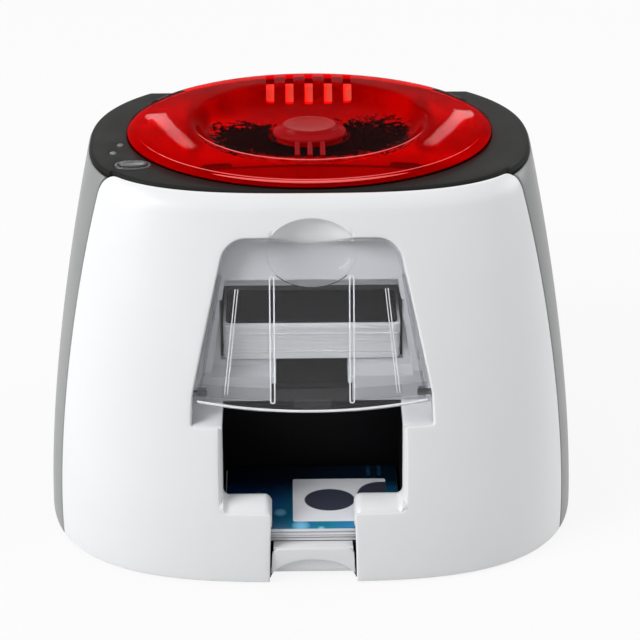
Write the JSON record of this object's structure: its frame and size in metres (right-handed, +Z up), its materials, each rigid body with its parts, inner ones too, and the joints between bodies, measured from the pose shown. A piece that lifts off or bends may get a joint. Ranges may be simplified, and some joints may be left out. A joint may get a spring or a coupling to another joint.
{
  "type": "id card printer",
  "caption": "Desktop printer for plastic id cards: leaning case, oval translucent lid with press knob, smoked feeder flap, geared rollers and an open front tray.",
  "frame": {"origin": "middle of the foot's outline, on the surface the printer stands on", "axes": "+X to the right seen from the front, +Y to the back, +Z up; the tray opens towards -Y"},
  "size_m": [0.2698, 0.2057, 0.1927],
  "materials": {
    "shell_white": "satin",
    "panel_grey": "satin",
    "deck_charcoal": "satin",
    "underside_grey": "matte",
    "foot_rubber": "matte",
    "liner_light": "matte",
    "inner_black": "matte",
    "card_white": "satin",
    "card_print": "satin",
    "smoke_clear": "clear",
    "pin_dark": "satin",
    "frame_black": "satin",
    "rod_steel": "brushed",
    "lid_red": "clear",
    "lid_black": "matte",
    "knob_red": "gloss",
    "fin_aluminium": "satin",
    "button_grey": "satin",
    "lens_grey": "gloss",
    "roller_rubber": "matte",
    "gear_white": "satin",
    "pinion_brass": "satin",
    "motor_steel": "satin",
    "ribbon_black": "satin",
    "board_green": "satin",
    "port_black": "matte",
    "port_steel": "satin"
  },
  "bodies": {
    "case": {"front_shell": "shell_white", "side_panel_left": "panel_grey", "side_panel_right": "panel_grey", "rear_shell": "panel_grey", "deck_bezel": "deck_charcoal", "base_plate": "underside_grey", "feet": "foot_rubber", "feed_surround": "liner_light", "card_magazine": "inner_black", "feed_stack": "card_white", "output_bin": "inner_black", "tray_lip": "shell_white", "tray_stack": "card_white", "printed_card": "card_print", "eject_ramp": "inner_black", "frame_left": "frame_black", "frame_right": "frame_black", "tie_rods": "rod_steel", "rear_bridge": "frame_black", "hinge_pins": "rod_steel", "button_ring": "button_grey", "status_lenses": "lens_grey", "drive_motor": "motor_steel", "motor_bracket": "motor_steel", "ribbon_film": "ribbon_black", "main_board": "board_green", "power_inlet": "port_black", "usb_port": "port_steel"},
    "lid": {"lid_dome": "lid_red", "lid_knuckles": "lid_black", "lid_frame": "lid_black", "print_head": "lid_black", "head_sink": "fin_aluminium"},
    "knob": {"press_knob": "knob_red"},
    "flap": {"feeder_flap": "smoke_clear", "flap_pins": "pin_dark"},
    "button": {"power_button": "button_grey"},
    "platen": {"platen_roller": "roller_rubber"},
    "pick": {"pick_roller": "roller_rubber"},
    "feed": {"feed_roller": "roller_rubber"},
    "exit": {"exit_roller": "roller_rubber"},
    "idler_a": {"idler_gear_a": "gear_white"},
    "idler_b": {"idler_gear_b": "gear_white"},
    "idler_c": {"idler_gear_c": "gear_white"},
    "pinion": {"motor_pinion": "pinion_brass"},
    "supply": {"ribbon_supply": "ribbon_black"},
    "takeup": {"ribbon_takeup": "ribbon_black"}
  },
  "joints": [
    {"name": "lid_hinge", "type": "hinge", "parent": "case", "child": "lid", "pos_m": [0, 0.08604, 0.17103], "axis": [-1, 0, 0], "range_deg": [0, 95]},
    {"name": "knob_press", "type": "slide", "parent": "lid", "child": "knob", "axis": [0, 0.0698, -0.9976], "range_m": [0, 0.003], "stiffness_N_per_m": 400, "springref_m": -0.003},
    {"name": "flap_hinge", "type": "hinge", "parent": "case", "child": "flap", "pos_m": [0, -0.06984, 0.09016], "axis": [1, 0, 0], "range_deg": [0, 110]},
    {"name": "button_press", "type": "slide", "parent": "case", "child": "button", "axis": [0, 0.0698, -0.9976], "range_m": [0, 0.0012], "stiffness_N_per_m": 300, "springref_m": -0.002},
    {"name": "platen_spin", "type": "hinge", "parent": "case", "child": "platen", "pos_m": [0, 0.03397, 0.0897], "axis": [1, 0, 0], "continuous": true},
    {"name": "pick_spin", "type": "hinge", "parent": "case", "child": "pick", "pos_m": [0, -0.00603, 0.0897], "axis": [1, 0, 0], "continuous": true},
    {"name": "feed_spin", "type": "hinge", "parent": "case", "child": "feed", "pos_m": [0, 0.01397, 0.0897], "axis": [1, 0, 0], "continuous": true},
    {"name": "exit_spin", "type": "hinge", "parent": "case", "child": "exit", "pos_m": [0, 0.05397, 0.0897], "axis": [1, 0, 0], "continuous": true},
    {"name": "idler_a_spin", "type": "hinge", "parent": "case", "child": "idler_a", "pos_m": [0, 0.00397, 0.07845], "axis": [1, 0, 0], "continuous": true},
    {"name": "idler_b_spin", "type": "hinge", "parent": "case", "child": "idler_b", "pos_m": [0, 0.02397, 0.07845], "axis": [1, 0, 0], "continuous": true},
    {"name": "idler_c_spin", "type": "hinge", "parent": "case", "child": "idler_c", "pos_m": [0, 0.04397, 0.07845], "axis": [1, 0, 0], "continuous": true},
    {"name": "pinion_spin", "type": "hinge", "parent": "case", "child": "pinion", "pos_m": [0, 0.06203, 0.07819], "axis": [1, 0, 0], "continuous": true},
    {"name": "supply_spin", "type": "hinge", "parent": "case", "child": "supply", "pos_m": [0, -0.01803, 0.14603], "axis": [1, 0, 0], "continuous": true},
    {"name": "takeup_spin", "type": "hinge", "parent": "case", "child": "takeup", "pos_m": [0, 0.06597, 0.14603], "axis": [1, 0, 0], "continuous": true}
  ],
  "couplings": [
    {"joint": "pick_spin", "follows": "platen_spin", "ratio": 1},
    {"joint": "feed_spin", "follows": "platen_spin", "ratio": 1},
    {"joint": "exit_spin", "follows": "platen_spin", "ratio": 1},
    {"joint": "idler_a_spin", "follows": "platen_spin", "ratio": -1.5},
    {"joint": "idler_b_spin", "follows": "platen_spin", "ratio": -1.5},
    {"joint": "idler_c_spin", "follows": "platen_spin", "ratio": -1.5},
    {"joint": "pinion_spin", "follows": "platen_spin", "ratio": -1.8}
  ]
}
